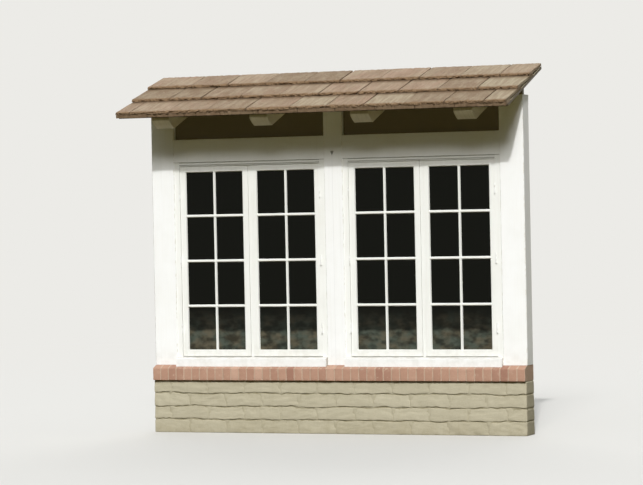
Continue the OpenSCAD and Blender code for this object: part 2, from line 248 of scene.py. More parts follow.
def new_piece(name, points, faces, marks, look, slot, sharp):
    """A mesh from point and quad arrays, smooth except where faces meet at more than
    the sharp angle in degrees. Marks are values that the look, its material, reads at
    each point."""
    mesh = bpy.data.meshes.new(name)
    mesh.vertices.add(len(points))
    mesh.vertices.foreach_set("co", np.ascontiguousarray(points, np.float32).ravel())
    mesh.loops.add(faces.size)
    mesh.loops.foreach_set("vertex_index", faces.astype(np.int32).ravel())
    mesh.polygons.add(len(faces))
    mesh.polygons.foreach_set("loop_start", np.arange(0, faces.size, 4, dtype=np.int32))
    mesh.update(calc_edges=True)
    mesh.validate()
    mesh.polygons.foreach_set("use_smooth", np.ones(len(faces), bool))
    mesh.set_sharp_from_angle(angle=math.radians(sharp))
    for mark, values in marks.items():
        layer = mesh.attributes.new(mark, "FLOAT", "POINT")
        layer.data.foreach_set("value", np.ascontiguousarray(values, np.float32).ravel())
    mesh.materials.append(look)
    piece = linked(name, mesh)
    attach(piece, "root")
    return piece


# Shader nodes

MIX_SOCKETS = (0, 6, 7)    # factor and the two colours that a Mix node takes
MIX_COLOUR = 2             # colour that it gives
WHITE = (1.0, 1.0, 1.0, 1.0)
SOCKET_KINDS = {1: "Float", 3: "Vector", 4: "Color"}    # by how many numbers a value has


class Wiring:
    """Adds nodes to one tree, sets their values and joins them."""

    def __init__(self, tree):
        self.tree = tree

    def put(self, socket, value):
        if isinstance(value, bpy.types.NodeSocket):
            self.tree.links.new(value, socket)
        elif socket.type == "RGBA":
            socket.default_value = (*value, 1.0)
        else:
            socket.default_value = value

    def add(self, kind, settings=None, **values):
        made = self.tree.nodes.new("ShaderNode" + kind)
        for key, value in (settings or {}).items():
            setattr(made, key, value)
        for key, value in values.items():
            self.put(made.inputs[key.replace("_", " ")], value)
        return made

    def fill(self, kind, settings, values, numbers=range(5)):
        """Outputs of a node whose first sockets, or those numbered, take the values."""
        made = self.add(kind, settings)
        for number, value in zip(numbers, values):
            self.put(made.inputs[number], value)
        return made.outputs

    def sums(self, operation, a, b=0.0, clamp=False):
        return self.fill("Math", {"operation": operation, "use_clamp": clamp}, (a, b))[0]

    def plus(self, a, b, clamp=False):
        return self.sums("ADD", a, b, clamp)

    def minus(self, a, b):
        return self.sums("SUBTRACT", a, b)

    def times(self, a, b, clamp=False):
        return self.sums("MULTIPLY", a, b, clamp)

    def vector(self, operation, a, b):
        return self.fill("VectorMath", {"operation": operation}, (a, b))[0]

    def mix(self, share, a, b):
        """Colour a, with a share of colour b."""
        return self.fill("Mix", {"data_type": "RGBA"}, (share, a, b), MIX_SOCKETS)[MIX_COLOUR]

    def plain(self, kind, tone):
        """A surface or a light of one colour."""
        return self.add(kind, Color=tone).outputs[0]

    def blend(self, share, a, b):
        """Surface a, with a share of surface b."""
        return self.fill("MixShader", None, (share, a, b))[0]

    def span(self, value, low, high, to_low=0.0, to_high=1.0):
        """A smooth step from to_low, where the value is low, to to_high."""
        return self.fill("MapRange", {"interpolation_type": "SMOOTHSTEP"},
                         (value, low, high, to_low, to_high))[0]

    def noise(self, at, scale, detail=2.0, rough=0.5):
        """Noise of a scale in cycles a metre, which may differ along x, y and z."""
        if isinstance(scale, tuple):
            at, scale = self.vector("MULTIPLY", at, scale), 1.0
        return self.add("TexNoise", Vector=at, Scale=scale, Detail=detail,
                        Roughness=rough).outputs["Fac"]

    def cells(self, at, scale):
        return self.add("TexVoronoi", Vector=at, Scale=scale).outputs["Distance"]

    def here(self):
        return self.add("TexCoord").outputs["Object"]

    def xyz(self, at):
        return self.add("SeparateXYZ", Vector=at).outputs

    def mark(self, name):
        return self.add("Attribute", {"attribute_name": name}).outputs["Fac"]

    def place(self, group, **values):
        return self.add("Group", {"node_tree": group()}, **values).outputs


def effect(*outputs, **inputs):
    """Turns a function that joins nodes into one that gives the shader node group of its
    name, built the first time. Inputs give the first value of each socket."""
    def taken(build):
        def group():
            tree = bpy.data.node_groups.get(build.__name__)
            if tree:
                return tree
            tree = bpy.data.node_groups.new(build.__name__, "ShaderNodeTree")
            for label, value in inputs.items():
                kind = "NodeSocket" + SOCKET_KINDS[np.size(value)]
                socket = tree.interface.new_socket(label, in_out="INPUT", socket_type=kind)
                socket.default_value = value
            for label in outputs:
                kind = "NodeSocketColor" if label == "Colour" else "NodeSocketFloat"
                tree.interface.new_socket(label, in_out="OUTPUT", socket_type=kind)
            w = Wiring(tree)
            start = tree.nodes.new("NodeGroupInput")
            end = tree.nodes.new("NodeGroupOutput")
            results = build(w, *(start.outputs[label] for label in inputs))
            for label, value in zip(outputs, results):
                w.put(end.inputs[label], value)
            return tree
        return group
    return taken


@effect("Colour", "Roughness", "Height", Colour=WHITE, Under=WHITE, Grain=(60.0, 60.0, 4.0), Thin=0.15)
def brushed_paint(w, tone, under, grain, share):
    """Paint laid on with a brush: fine streaks along the grain, a little sag and
    cloudiness, and the grain of the timber faintly through it."""
    at = w.here()
    streaks = w.noise(w.vector("MULTIPLY", at, grain), 1.0, 4.0, 0.6)
    cloud = w.noise(at, 2.3, 3.0, 0.55)
    specks = w.noise(at, 210.0, 2.0, 0.6)
    thin = w.times(w.span(streaks, 0.42, 0.75), share)
    thin = w.plus(thin, w.times(w.span(cloud, 0.4, 0.75), 0.1), True)
    rough = w.plus(w.span(streaks, 0.3, 0.7, 0.36, 0.5), w.span(cloud, 0.35, 0.7, 0.0, 0.14))
    return w.mix(thin, tone, under), rough, w.plus(streaks, w.times(specks, 0.25))


@effect("Colour", "Share", Colour=WHITE, Grime=WHITE, Foot=0.0, Amount=0.5)
def rain_marks(w, tone, grime, foot, amount):
    """Splashes above a ledge, runs down the face and dust in patches, as a share of the
    grime colour. Foot is the height of the ledge and Amount the strength."""
    at = w.here()
    splash = w.times(w.span(w.minus(w.xyz(at)["Z"], foot), 0.0, 0.16, 1.0, 0.0),
                     w.span(w.noise(at, 17.0, 4.0, 0.65), 0.35, 0.7, 0.3, 1.0))
    runs = w.span(w.noise(at, (34.0, 34.0, 1.3), 3.0, 0.6), 0.52, 0.82)
    patch = w.span(w.noise(at, 6.0, 4.0, 0.6), 0.45, 0.8)
    dirt = w.plus(w.times(splash, 0.8), w.plus(w.times(runs, 0.28), w.times(patch, 0.2)), True)
    dirt = w.times(dirt, amount, True)
    return w.mix(dirt, tone, grime), dirt


@effect("Colour", Colour=WHITE, Under=WHITE, Low=(0.0, 0.0, 0.0), High=(1.0, 1.0, 1.0), Reach=0.003)
def worn_edges(w, tone, under, low, high, reach):
    """Paint rubbed thin along the edges of a box from Low to High. On a side of the box
    the middle one of the distances to its sides along x, y and z is the way to the edge."""
    at = w.here()
    x, y, z = w.xyz(w.vector("MINIMUM", w.vector("SUBTRACT", at, low), w.vector("SUBTRACT", high, at)))
    most = w.sums("MINIMUM", w.sums("MAXIMUM", x, y), z)
    edge = w.sums("MAXIMUM", w.sums("MINIMUM", x, y), most)
    stray = w.span(w.noise(at, 24.0, 4.0, 0.65), 0.3, 0.7, 0.0, 2.0)
    rubbed = w.span(w.minus(edge, w.times(stray, reach)), -0.0015, 0.0008, 1.0, 0.0)
    chips = w.span(w.noise(at, 140.0, 2.0, 0.6), 0.35, 0.6, 0.15, 0.45)
    return [w.mix(w.times(rubbed, chips), tone, under)]


@effect("Colour", "Roughness", "Height", Colour=WHITE, Pits=WHITE, Scale=120.0, Amount=1.0)
def grit(w, tone, hollows, scale, amount):
    """Cast or fired masonry: grains of two sizes, open pits, and patches where the
    pit colour comes through."""
    at = w.here()
    grain = w.noise(at, scale, 5.0, 0.7)
    where = w.span(w.noise(at, w.times(scale, 0.22), 3.0, 0.6), 0.46, 0.66)
    pits = w.times(w.span(w.cells(at, w.times(scale, 0.9)), 0.08, 0.3, 1.0, 0.0), where)
    cloud = w.span(w.noise(at, 9.0, 4.0, 0.6), 0.35, 0.72)
    dirt = w.plus(w.span(grain, 0.45, 0.75, 0.0, 0.35),
                  w.plus(w.times(pits, 0.5), w.times(cloud, 0.22)), True)
    tone = w.mix(w.times(dirt, amount), tone, hollows)
    return tone, w.span(grain, 0.3, 0.7, 0.78, 0.95), w.minus(grain, w.times(pits, 0.8))


@effect("Colour", Dark=WHITE, Middle=WHITE, Light=WHITE)
def piece_tint(w, dark, middle, light):
    """Colour of one brick or tile, from the value that its mesh holds: dark at 0,
    middle at 0.5 and light at 1."""
    tint = w.mark("tint")
    low = w.mix(w.span(tint, 0.0, 0.5), dark, middle)
    return [w.mix(w.span(tint, 0.5, 1.0), low, light)]


def emptied(owner):
    """Wiring for the cleared nodes of a material or world."""
    owner.use_nodes = True
    owner.node_tree.nodes.clear()
    return Wiring(owner.node_tree)


def material(name, build, depth, strong, **fixed):
    """The material called name. Build joins its nodes the first time and returns what
    feeds Base Color, Roughness and the height of a bump, which has a depth in metres
    and a strength; fixed values go on the shader's sockets."""
    found = bpy.data.materials.get(name)
    if found:
        return found
    made = bpy.data.materials.new(name)
    w = emptied(made)
    shader = w.add("BsdfPrincipled", **{"Specular_IOR_Level": 0.2, **fixed})
    w.put(w.add("OutputMaterial").inputs["Surface"], shader.outputs["BSDF"])
    tone, rough, height = build(w)
    w.put(shader.inputs["Base Color"], tone)
    w.put(shader.inputs["Roughness"], rough)
    bump = w.add("Bump", Strength=strong, Distance=depth, Height=height)
    w.put(shader.inputs["Normal"], bump.outputs["Normal"])
    return made


def finish(depth, strong, **fixed):
    """Turns a function that joins nodes from a group of settings into one that gives the
    material of its name."""
    def taken(build):
        return lambda given: material(build.__name__, lambda w: build(w, given), depth, strong, **fixed)
    return taken


# Cycles of brush marks a metre along x, y and z
UPRIGHT = (90.0, 90.0, 3.0)
LEVEL = (3.0, 90.0, 90.0)
SLOPING = (90.0, 4.0, 8.0)
SASH = (70.0, 70.0, 9.0)
BARS = (70.0, 70.0, 20.0)
KNUCKLES = (40.0, 40.0, 40.0)


def paint(name, tone, under, grain, thin=0.07, foot=0.0, grime=0.22, depth=0.0007, gloss=0.25,
          node=None, seams=(), spot=None, ledge=None):
    """Brush paint on timber with rain marks over it. A node's box has worn edges, seams
    are heights with a dark line of dirt and painted shadow in a thin joint, a spot is a
    place with a dark run, and a ledge is the y of a front face, behind which dirt lies on the top."""
    timber = bpy.context.scene.bay_timber

    def build(w):
        look, rough, height = w.place(brushed_paint, Colour=tone, Under=under, Grain=grain, Thin=thin)
        look, dirt = w.place(rain_marks, Colour=look, Grime=timber.grime, Foot=foot, Amount=grime)
        if node:
            low, high = np.array(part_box(node))
            ends = np.eye(3)[np.argmax(high - low)]
            look, = w.place(worn_edges, Colour=look, Under=timber.edge, Low=tuple(low - ends),
                            High=tuple(high + ends), Reach=timber.wear)
        # a dark line at each seam height: dirt and a painted shadow line
        for seam in seams:
            off = w.sums("ABSOLUTE", w.minus(w.xyz(w.here())["Z"], seam))
            look = w.mix(w.span(off, 0.0016, 0.0045, 0.7, 0.0), look, timber.seam)
        if spot:
            look = w.mix(dark_run(w, spot), look, timber.seam)
        if ledge is not None:
            behind = w.span(w.xyz(w.here())["Y"], ledge + 0.002, ledge + 0.012)
            patches = w.span(w.noise(w.here(), 12.0, 4.0, 0.6), 0.3, 0.7, 0.15, 0.45)
            look = w.mix(w.times(behind, patches), look, timber.grime)
        return look, w.plus(rough, w.times(dirt, 0.3), True), height
    return material(name, build, depth, 0.6, Specular_IOR_Level=gloss)


def dark_run(w, place):
    """1 in a stain about 20 mm wide round the place, which tapers as it runs down."""
    x, y, z = w.xyz(w.vector("SUBTRACT", w.here(), place))
    half = w.span(z, -0.032, 0.008, 0.002, 0.017)
    across = w.sums("DIVIDE", w.sums("ABSOLUTE", x), half)
    inside = w.times(w.span(across, 0.3, 1.1, 1.0, 0.0), w.span(z, 0.005, 0.012, 1.0, 0.0))
    inside = w.times(inside, w.span(z, -0.034, -0.004, 0.15, 0.8))
    return w.times(inside, w.span(y, 0.0, 0.02, 1.0, 0.0))


# Stage

CAMERA_TURNS = (22.02, -0.70, -1.15)    # degrees to the right, above level and of roll
CAMERA_AIM = (-0.118, -0.027, 1.459)    # point at the height of the windows that it looks at
CAMERA_AWAY = 22.123
CAMERA_LENS = 162.03
CAMERA_SENSOR = 36.0
CAMERA_SIGHT = 300.0
LAMP_TINT = (1.0, 0.998, 0.996)
FILL_SPREAD = math.radians(50)
FILL_HEIGHT = math.radians(28)
FLOOR_REACH = 70.0
FLOOR_RINGS = 24
FLOOR_SPOKES = 96
FLOOR_SHADE = 0.86      # share of the background colour on the floor close by
FLOOR_FADE = (5.0, 16.0)    # distances between which the floor turns into the background
SKY_EDGE = (0.2, 0.32)      # heights on a unit globe between which the sky light starts
SKY_NARROW = 0.9            # how much less sky light comes from the ends


class BAY_OT_stage(Operator):
    """Camera, lamps, soft light from all round and a plain pale floor"""
    bl_idname = "bay.stage"
    bl_label = "Stage and camera"

    def execute(self, context):
        look = context.scene.bay_stage
        side, height = look.sun_side, look.sun_height
        context.scene.view_settings.view_transform = "Standard"
        self.camera(context.scene)
        self.lamp("sun", look.sun, look.sun_spread, side, height)
        self.lamp("glow", look.glow, look.glow_spread, side, height - look.glow_drop)
        self.lamp("fill", look.fill, FILL_SPREAD, side + math.pi, FILL_HEIGHT)
        self.light_all_round(context.scene, look)
        self.floor(look)
        return {"FINISHED"}

    def camera(self, scene):
        """Camera that looks at a point from a distance along its own axis."""
        turn, tip, roll = (math.radians(v) for v in CAMERA_TURNS)
        away = Vector((-math.sin(turn) * math.cos(tip), math.cos(turn) * math.cos(tip), math.sin(tip)))
        level = Vector((math.cos(turn), math.sin(turn), 0.0))
        upright = level.cross(away)
        side = math.cos(roll) * level + math.sin(roll) * upright
        up = math.cos(roll) * upright - math.sin(roll) * level
        place = Vector(CAMERA_AIM) - away * CAMERA_AWAY
        data = bpy.data.cameras.new("camera")
        data.sensor_width = CAMERA_SENSOR
        data.lens = CAMERA_LENS
        data.clip_end = CAMERA_SIGHT
        camera = linked("camera", data)
        camera.matrix_world = Matrix.Translation(place) @ Matrix((side, up, -away)).transposed().to_4x4()
        scene.camera = camera

    def lamp(self, name, energy, spread, side, height):
        """A lamp so far off that its light is parallel, from a side and a height."""
        data = bpy.data.lights.new(name, "SUN")
        data.energy = energy
        data.angle = spread
        data.color = LAMP_TINT
        towards = Vector((math.sin(side) * math.cos(height), -math.cos(side) * math.cos(height),
                          math.sin(height)))
        linked(name, data).rotation_euler = towards.to_track_quat("Z", "Y").to_euler()

    def seen(self, w):
        """1 for rays that show the background: from the camera, or by gloss or glass."""
        path = w.add("LightPath").outputs
        rays = w.sums("MAXIMUM", path["Is Camera Ray"], path["Is Glossy Ray"])
        return w.sums("MAXIMUM", rays, path["Is Transmission Ray"])

    def light_all_round(self, scene, look):
        """Sky light from above and low light near level and from the ends, behind a
        plain background."""
        scene.world = bpy.data.worlds.new("pale_room")
        w = emptied(scene.world)
        x, _, z = w.xyz(w.add("TexCoord").outputs["Generated"])
        up = w.minus(z, w.times(w.times(x, x), SKY_NARROW))
        light = w.mix(w.span(up, *SKY_EDGE), look.low_sky, look.sky)
        both = w.blend(self.seen(w), w.plain("Background", light), w.plain("Background", look.paper))
        w.put(w.add("OutputWorld").inputs["Surface"], both)

    def floor(self, look):
        """Flat disc of rings: point = (r cos a, r sin a, 0), with r growing by squares."""
        ring = FLOOR_REACH * np.linspace(0.02, 1.0, FLOOR_RINGS)[:, None] ** 2
        turn = np.linspace(0, 2 * np.pi, FLOOR_SPOKES + 1)[:-1][None]
        points = np.stack((ring * np.cos(turn), ring * np.sin(turn), 0 * ring * turn), -1).reshape(-1, 3)
        ids = np.arange(len(points)).reshape(FLOOR_RINGS, FLOOR_SPOKES)
        faces = quads(np.concatenate((ids, ids[:, :1]), 1))
        fan = np.stack((np.full(FLOOR_SPOKES, len(points)), ids[0], np.roll(ids[0], -1)), -1)
        mesh = bpy.data.meshes.new("floor")
        mesh.from_pydata(points.tolist() + [(0.0, 0.0, 0.0)], [], faces.tolist() + fan.tolist())
        floor = linked("floor", mesh)
        made = bpy.data.materials.new("pale_floor")
        w = emptied(made)
        reach = w.add("VectorMath", {"operation": "LENGTH"}, Vector=w.here()).outputs["Value"]
        near = w.plain("BsdfDiffuse", [FLOOR_SHADE * v for v in look.paper])
        shown = w.blend(w.span(reach, *FLOOR_FADE), near, w.plain("Emission", look.paper))
        both = w.blend(self.seen(w), w.plain("BsdfDiffuse", look.ground), shown)
        w.put(w.add("OutputMaterial").inputs["Surface"], both)
        mesh.materials.append(made)


# Masonry

COURSE = 0.1016         # height of a course of blocks with its joint
BLOCK_EDGE = 0.0045     # radius of the edges of a block
BLOCK_CUT = 0.011       # distance between the cuts along a block
BRICK_EDGE = 0.004      # radius of the edges of a brick
CHIP = 0.004            # depth of the worn corners of the bricks
WASH_LINE = POST_LOW[1] - 0.005    # y at which the top of the bricks starts to fall
WASH_FALL = 0.025       # how much lower the front edge of the bricks is
MORTAR_INSET = (0.002, 0.0045, 0.0022)    # mortar inside the ends, faces and top of the bricks
MORTAR_PITS = srgb(112, 102, 84)
BLOCK_SEED, BED_SEED, BRICK_SEED, TILE_SEED = 11, 5, 23, 37
CORE_CUTS = (330, 4, 42)
MORTAR_CUTS = (280, 26, 8)


def unit_edges(low, high, pitch, shift):
    """Edges of units laid from low to high at one pitch, the first cut by the shift."""
    inner = np.arange(low + shift, high, pitch)
    inner = inner[(inner > low + 0.02) & (inner < high - 0.02)]
    return np.concatenate(([low], inner, [high]))


@finish(depth=0.003, strong=0.6)
def block_paint(w, given):
    """Old paint over blocks and joints, with dirt and painted shade where it lies deep."""
    shade = given.shade_paint
    tone = w.mix(w.span(w.mark("tint"), 0.0, 1.0, 0.0, 0.14), given.paint, shade)
    patches = w.span(w.noise(w.here(), 22.0, 3.0, 0.6), 0.3, 0.7, 0.35, 1.0)
    # painted shade and dirt where the faces draw back, along the foot of each block and in the open joints
    tone = w.mix(w.times(w.mark("dirt_and_shade"), patches), tone, shade)
    tone, rough, height = w.place(grit, Colour=tone, Pits=shade, Scale=95.0, Amount=0.5)
    tone, _ = w.place(rain_marks, Colour=tone, Grime=bpy.context.scene.bay_timber.grime, Amount=0.5)
    return tone, rough, w.plus(height, w.noise(w.here(), (14.0, 14.0, 60.0), 4.0, 0.6))


class BAY_OT_block_wall(Operator):
    """Courses of painted blocks in running bond, slumped and uneven, on a mortar core"""
    bl_idname = "bay.block_wall"
    bl_label = "Block wall"

    def execute(self, context):
        given = context.scene.bay_masonry
        rng = np.random.default_rng(BLOCK_SEED)
        (left, _, foot), (right, _, top) = WALL_LOW, WALL_HIGH
        courses = round((top - foot) / COURSE)
        rise = (top - foot) / courses
        shifts = (given.block, given.block / 2)
        layout = [unit_edges(left, right, given.block, shifts[course % 2]) for course in range(courses)]
        parts = []
        for course, edges in enumerate(layout):
            edges[1:-1] += rng.uniform(-0.006, 0.006, len(edges) - 2)
            z = foot + course * rise
            for x0, x1 in zip(edges[:-1], edges[1:]):
                parts.append(self.block(given, rng, (x0, x1), (z, z + rise)))
        parts.append(self.core(rng, layout, rise))
        piece = new_piece("block_wall", *joined(parts), block_paint(given), "painted_block", sharp=60)
        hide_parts("apron_wall")
        return {"FINISHED"}

    def block(self, given, rng, along, up):
        """One block: a rounded box. Its faces belly out at the foot and draw back from
        the wall's face by slump * (smooth rise to the top + relief), sink a little more
        at its ends, where mortar fills the joint, and its beds wander along it."""
        low, high = WALL_LOW, WALL_HIGH
        gap = given.joint / 2
        side = gap * 0.3
        ends = np.array((along[0] + side * (along[0] > low[0] + 1e-4),
                         along[1] - side * (along[1] < high[0] - 1e-4)))
        beds = np.array((up[0] + gap * (up[0] > low[2] + 1e-4), up[1] - gap))
        half = np.array((np.ptp(ends) / 2, (high[1] - low[1]) / 2, np.ptp(beds) / 2))
        shape, grid, faces = rounded_box(half, BLOCK_EDGE, (max(6, round(2 * half[0] / BLOCK_CUT)), 5, 9))
        level = shape[:, 2] / half[2] / 2 + 0.5
        world = shape + (ends.mean(), (low[1] + high[1]) / 2, beds.mean())
        face = smooth(np.abs(grid[:, 1]) / half[1], 0.55, 1.0)
        seed = world + rng.uniform(0, 9, 3)
        smear = relief(seed * (0.45, 1, 1.6), rng, 0.045)
        belly = rng.uniform(0.6, 1.15) * smooth(level, rng.uniform(0.1, 0.3), 1.05) ** 1.3
        ending = smooth(np.abs(shape[:, 0]), half[0] - 0.03, half[0] + 0.004)
        back = given.slump * (0.16 + belly + 0.12 * relief(seed, rng, 0.12) + 0.13 * smear
                              + 0.07 * relief(seed, rng, 0.018) + 0.3 * ending + rng.uniform(0, 0.2))
        back = np.clip(back, 0.0002, 0.0092)
        out = world.copy()
        out[:, 1] -= np.sign(grid[:, 1]) * back * face
        edge = np.abs(grid[:, 2]) / half[2]
        stray = given.wander * relief(world * (1, 0.3, 1), np.random.default_rng(BED_SEED), 0.16)
        sag = 0.0016 * relief(seed, rng, 0.06) * edge
        inside = smooth(world[:, 2], low[2] + 0.002, low[2] + 0.03)
        inside *= smooth(high[2] - world[:, 2], 0.001, 0.03)
        out[:, 2] += (stray + sag) * inside
        out[:, [0, 2]] = np.clip(out[:, [0, 2]], low[[0, 2]], high[[0, 2]])
        # darker where the face draws back and along the foot of the block: painted shade, with dirt
        dirt_and_shade = smooth(back, 0.0035, 0.008) * 0.2 + smooth(0.08 - level, 0, 0.08) * 0.4
        return out, faces, {"dirt_and_shade": dirt_and_shade, "tint": rng.uniform(0, 1)}

    def core(self, rng, layout, rise):
        """The mortar: a slab behind the faces of the blocks, deep in the beds and nearly
        flush over the joints between the ends of blocks, with relief."""
        low, high = WALL_LOW, WALL_HIGH
        half = (high - low) / 2
        grid, faces = even_box(half, CORE_CUTS)
        world = grid + (low + high) / 2
        face = np.abs(grid[:, 1]) / half[1] > 0.99
        course = np.clip((world[:, 2] - low[2]) // rise, 0, len(layout) - 1)
        away = np.full(len(world), 1.0)
        for number, edges in enumerate(layout):
            near = np.abs(world[:, :1] - edges[None, 1:-1]).min(1)
            away = np.where(course == number, near, away)
        filled = 1 - smooth(away, 0.008, 0.03)
        depth = 0.0098 - 0.0048 * filled + 0.0011 * relief(world, rng, 0.06)
        world[:, 1] -= np.sign(grid[:, 1]) * face * depth
        world[:, 0] = np.clip(world[:, 0], low[0] + 0.003, high[0] - 0.003)
        world[:, 2] = np.clip(world[:, 2], low[2] + 0.001, high[2] - 0.0005)
        # darker in the open beds than over the filled end joints: painted shade, with dirt
        return world, faces, {"dirt_and_shade": 1.0 - 0.7 * filled, "tint": 0.5}


@finish(depth=0.002, strong=0.6)
def fired_brick(w, given):
    """Fired brick with a pale bloom in patches."""
    dark = given.brick_dark
    tone, = w.place(piece_tint, Dark=dark, Middle=given.brick_middle, Light=given.brick_light)
    tone, rough, height = w.place(grit, Colour=tone, Pits=dark, Scale=170.0, Amount=0.8)
    bloom = w.span(w.noise(w.here(), 21.0, 4.0, 0.65), 0.52, 0.78, 0.0, 0.45)
    tone = w.mix(bloom, tone, given.mortar)
    # darker towards the foot of each brick and at its worn corners
    return w.mix(w.times(w.mark("dirt_and_shade"), 0.5), tone, dark), rough, height


@finish(depth=0.002, strong=0.8)
def sill_mortar_mix(w, given):
    """Sandy mortar."""
    return w.place(grit, Colour=given.mortar, Pits=MORTAR_PITS, Scale=260.0, Amount=1.0)


class BAY_OT_brick_sill(Operator):
    """Bricks on edge along the top of the wall, worn at the arrises, in raked joints"""
    bl_idname = "bay.brick_sill"
    bl_label = "Brick sill"

    def execute(self, context):
        given = context.scene.bay_masonry
        rng = np.random.default_rng(BRICK_SEED)
        low, high = BRICK_LOW, BRICK_HIGH
        pitch = (high[0] - low[0]) / given.bricks
        half = np.array(((pitch - given.brick_joint) / 2, (high[1] - low[1]) / 2, (high[2] - low[2]) / 2))
        shape, grid, faces = rounded_box(half, BRICK_EDGE, (4, 14, 7))
        middle = np.zeros((given.bricks, 1, 3)) + (low + high) / 2
        middle[:, 0, 0] = low[0] + (np.arange(given.bricks) + 0.5) * pitch
        world = shape + middle
        seed = world + rng.uniform(0, 30, (given.bricks, 1, 3))
        front = smooth(-grid[:, 1], half[1] * 0.6, half[1])
        out = world.copy()
        back = 0.0022 * rng.uniform(0, 1, (given.bricks, 1)) + 0.0004
        uneven = 0.0007 * relief(seed, rng, 0.03) + 0.0006 * relief(seed, rng, 0.011)
        out[..., 1] += (back + np.clip(uneven, -0.0003, 1)) * front
        wear = smooth(relief(seed, rng, 0.028), 0.9, 1.9)
        corner = smooth(-grid[:, 1], half[1] - 0.012, half[1]) * smooth(grid[:, 2], half[2] - 0.014, half[2])
        out[..., 1] += CHIP * wear * corner
        out[..., 2] -= CHIP * wear * corner
        sunk = (0.0002 + 0.0012 * rng.uniform(0, 1, (given.bricks, 1))) * (grid[:, 2] > 0)
        out[..., 2] -= sunk * smooth(-world[..., 1], -POST_LOW[1] - 0.01, -POST_LOW[1])
        self.fall(out)
        tint = np.clip(rng.normal(0.5, 0.27, given.bricks), 0, 1)
        # darker towards the foot of each brick and at its worn corners
        dirt_and_shade = smooth(-grid[:, 2], half[2] * 0.5, half[2]) * 0.6 + wear * corner * 0.5
        parts = [(brick, faces, {"tint": shade, "dirt_and_shade": dirt})
                 for brick, shade, dirt in zip(out, tint, dirt_and_shade)]
        piece = new_piece("sill_bricks", *joined(parts), fired_brick(given), "brick", sharp=50)
        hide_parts("brick_sill")
        self.bed(given, rng)
        return {"FINISHED"}

    def fall(self, points):
        """Heights above the wall, scaled so that the top falls from the wash line to the
        front edge: z' = low + (z - low) * (height - fall * t) / height."""
        t = np.clip((WASH_LINE - points[..., 1]) / (WASH_LINE - BRICK_LOW[1]), 0, 1)
        low, height = BRICK_LOW[2], BRICK_HIGH[2] - BRICK_LOW[2]
        points[..., 2] = low + (points[..., 2] - low) * (height - WASH_FALL * t) / height

    def bed(self, given, rng):
        """Mortar between the bricks: the same profile, a little inside it."""
        half = (BRICK_HIGH - BRICK_LOW) / 2 - MORTAR_INSET
        grid, faces = even_box(half, MORTAR_CUTS)
        world = grid + (BRICK_LOW + BRICK_HIGH) / 2
        world[:, 1] += 0.0008 * relief(world, rng, 0.04) * (np.abs(grid[:, 1]) > half[1] * 0.95)
        self.fall(world)
        piece = new_piece("sill_mortar", world, faces, {}, sill_mortar_mix(given), "brick", sharp=50)
        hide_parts("brick_sill")


# Roof

ROOF_PITCH = math.radians(20)
BOARD_THICK = 0.019
TILE_THICK = 0.022
TILE_LENGTH = 0.4
GAUGE = 0.31            # distance between the courses up the slope
OVERHANG = 0.06         # how far the lowest tiles reach over the boards
STARTER_LENGTH = 0.114
STARTER_BACK = 0.006    # how far the starter tiles lie back from the tiles over them
LIFT = TILE_THICK * TILE_LENGTH / GAUGE    # how far a tile's lower edge is lifted by the one under it
TILT = LIFT / TILE_LENGTH
LIP = 0.013             # depth of the lapped joint at one side of a tile
BUTT = 0.02             # how far up a tile its broken lower edge counts
LAP_SHADE = (0.225, 0.305)    # how far up a tile the painted shade under the next course starts and is full

# Joints along the tile courses, lowest course first: place and share of the widest
TILE_JOINTS = (
    ((-1.452, 0.5), (-1.12, 0.25), (-0.808, 0.2), (-0.491, 1.0), (-0.132, 0.3), (0.159, 0.6),
     (0.325, 0.3), (0.457, 0.95), (0.78, 0.3), (1.09, 0.6), (1.395, 0.9)),
    ((-1.245, 0.5), (-0.983, 1.0), (-0.652, 0.3), (-0.329, 0.2), (-0.017, 1.0), (0.307, 1.0),
     (0.625, 1.0), (0.94, 0.4), (1.25, 0.8)),
    ((-1.199, 0.5), (-0.894, 0.75), (-0.566, 0.25), (-0.241, 0.35), (0.047, 1.0), (0.37, 0.45),
     (0.69, 0.8), (1.02, 0.3), (1.33, 0.7)),
)
STARTER_JOINTS = ((-1.31, 0.6), (-1.0, 0.8), (-0.7, 0.5), (-0.39, 0.9), (-0.07, 0.6), (0.23, 0.8),
                  (0.55, 0.5), (0.86, 0.9), (1.17, 0.6))


